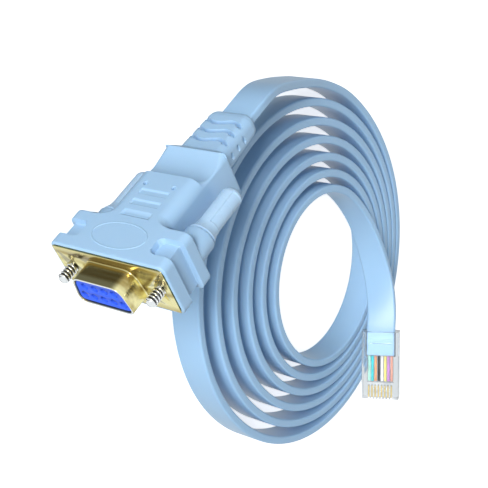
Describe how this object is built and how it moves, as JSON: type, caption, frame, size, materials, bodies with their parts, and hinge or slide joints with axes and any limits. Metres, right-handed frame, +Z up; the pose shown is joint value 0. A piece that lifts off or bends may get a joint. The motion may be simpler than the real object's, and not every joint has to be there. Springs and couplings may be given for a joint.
{
  "type": "rj45 console cable",
  "caption": "Flat ribbon console cable in a loose coil, with a D-shaped serial socket in a moulded hood at one end and a clear modular plug at the other.",
  "frame": {"origin": "on the floor, under the middle of the hooded connector's box, with the cable and its plug left out", "axes": "+Y along the hood from the socket towards its cable, +Z up out of the floor; the oval on the hood faces -X"},
  "size_m": [0.1332, 0.1235, 0.0324],
  "materials": {
    "hood_plastic": "light blue soft moulded plastic, satin",
    "ribbon_jacket": "light blue flexible cable jacket, satin",
    "grip_plastic": "pale blue moulded plastic",
    "gold_shell": "polished gold plated sheet steel",
    "contact_gold": "gold plated contacts",
    "blue_insulator": "saturated blue moulded plastic",
    "screw_steel": "nickel plated steel with a cut thread",
    "clear_plug": "clear moulded polycarbonate",
    "wire_1_insulation": "salmon wire insulation",
    "wire_2_insulation": "violet wire insulation",
    "wire_3_insulation": "yellow wire insulation",
    "wire_4_insulation": "white wire insulation",
    "wire_5_insulation": "black wire insulation",
    "wire_6_insulation": "orange wire insulation",
    "wire_7_insulation": "turquoise wire insulation",
    "wire_8_insulation": "pale green wire insulation"
  },
  "bodies": {
    "cable_assembly": {"hood": "hood_plastic", "flange_shell": "gold_shell", "insulator": "blue_insulator", "socket_contact_1": "contact_gold", "socket_contact_2": "contact_gold", "socket_contact_3": "contact_gold", "socket_contact_4": "contact_gold", "socket_contact_5": "contact_gold", "socket_contact_6": "contact_gold", "socket_contact_7": "contact_gold", "socket_contact_8": "contact_gold", "socket_contact_9": "contact_gold", "cable_coil": "ribbon_jacket", "cable_to_hood": "ribbon_jacket", "cable_to_plug": "ribbon_jacket", "plug_body": "clear_plug", "wire_1": "wire_1_insulation", "wire_2": "wire_2_insulation", "wire_3": "wire_3_insulation", "wire_4": "wire_4_insulation", "wire_5": "wire_5_insulation", "wire_6": "wire_6_insulation", "wire_7": "wire_7_insulation", "wire_8": "wire_8_insulation", "contact_blade_1": "contact_gold", "contact_blade_2": "contact_gold", "contact_blade_3": "contact_gold", "contact_blade_4": "contact_gold", "contact_blade_5": "contact_gold", "contact_blade_6": "contact_gold", "contact_blade_7": "contact_gold", "contact_blade_8": "contact_gold"},
    "upper_thumbscrew": {"upper_jackscrew": "screw_steel", "upper_thumb_grip": "grip_plastic"},
    "lower_thumbscrew": {"lower_jackscrew": "screw_steel", "lower_thumb_grip": "grip_plastic"},
    "plug_latch": {"plug_latch": "clear_plug"}
  },
  "joints": [
    {"name": "upper_screw_turn", "type": "hinge", "parent": "cable_assembly", "child": "upper_thumbscrew", "pos_m": [0, -0.02315, 0.0287], "axis": [0, 1, 0], "continuous": true},
    {"name": "lower_screw_turn", "type": "hinge", "parent": "cable_assembly", "child": "lower_thumbscrew", "pos_m": [0, -0.02315, 0.0037], "axis": [0, 1, 0], "continuous": true},
    {"name": "latch_press", "type": "hinge", "parent": "cable_assembly", "child": "plug_latch", "pos_m": [0.12463, 0.04466, 0.01747], "axis": [0.1506, 0.3665, 0.9182], "range_deg": [0, 10], "stiffness_Nm_per_rad": 0.02}
  ]
}
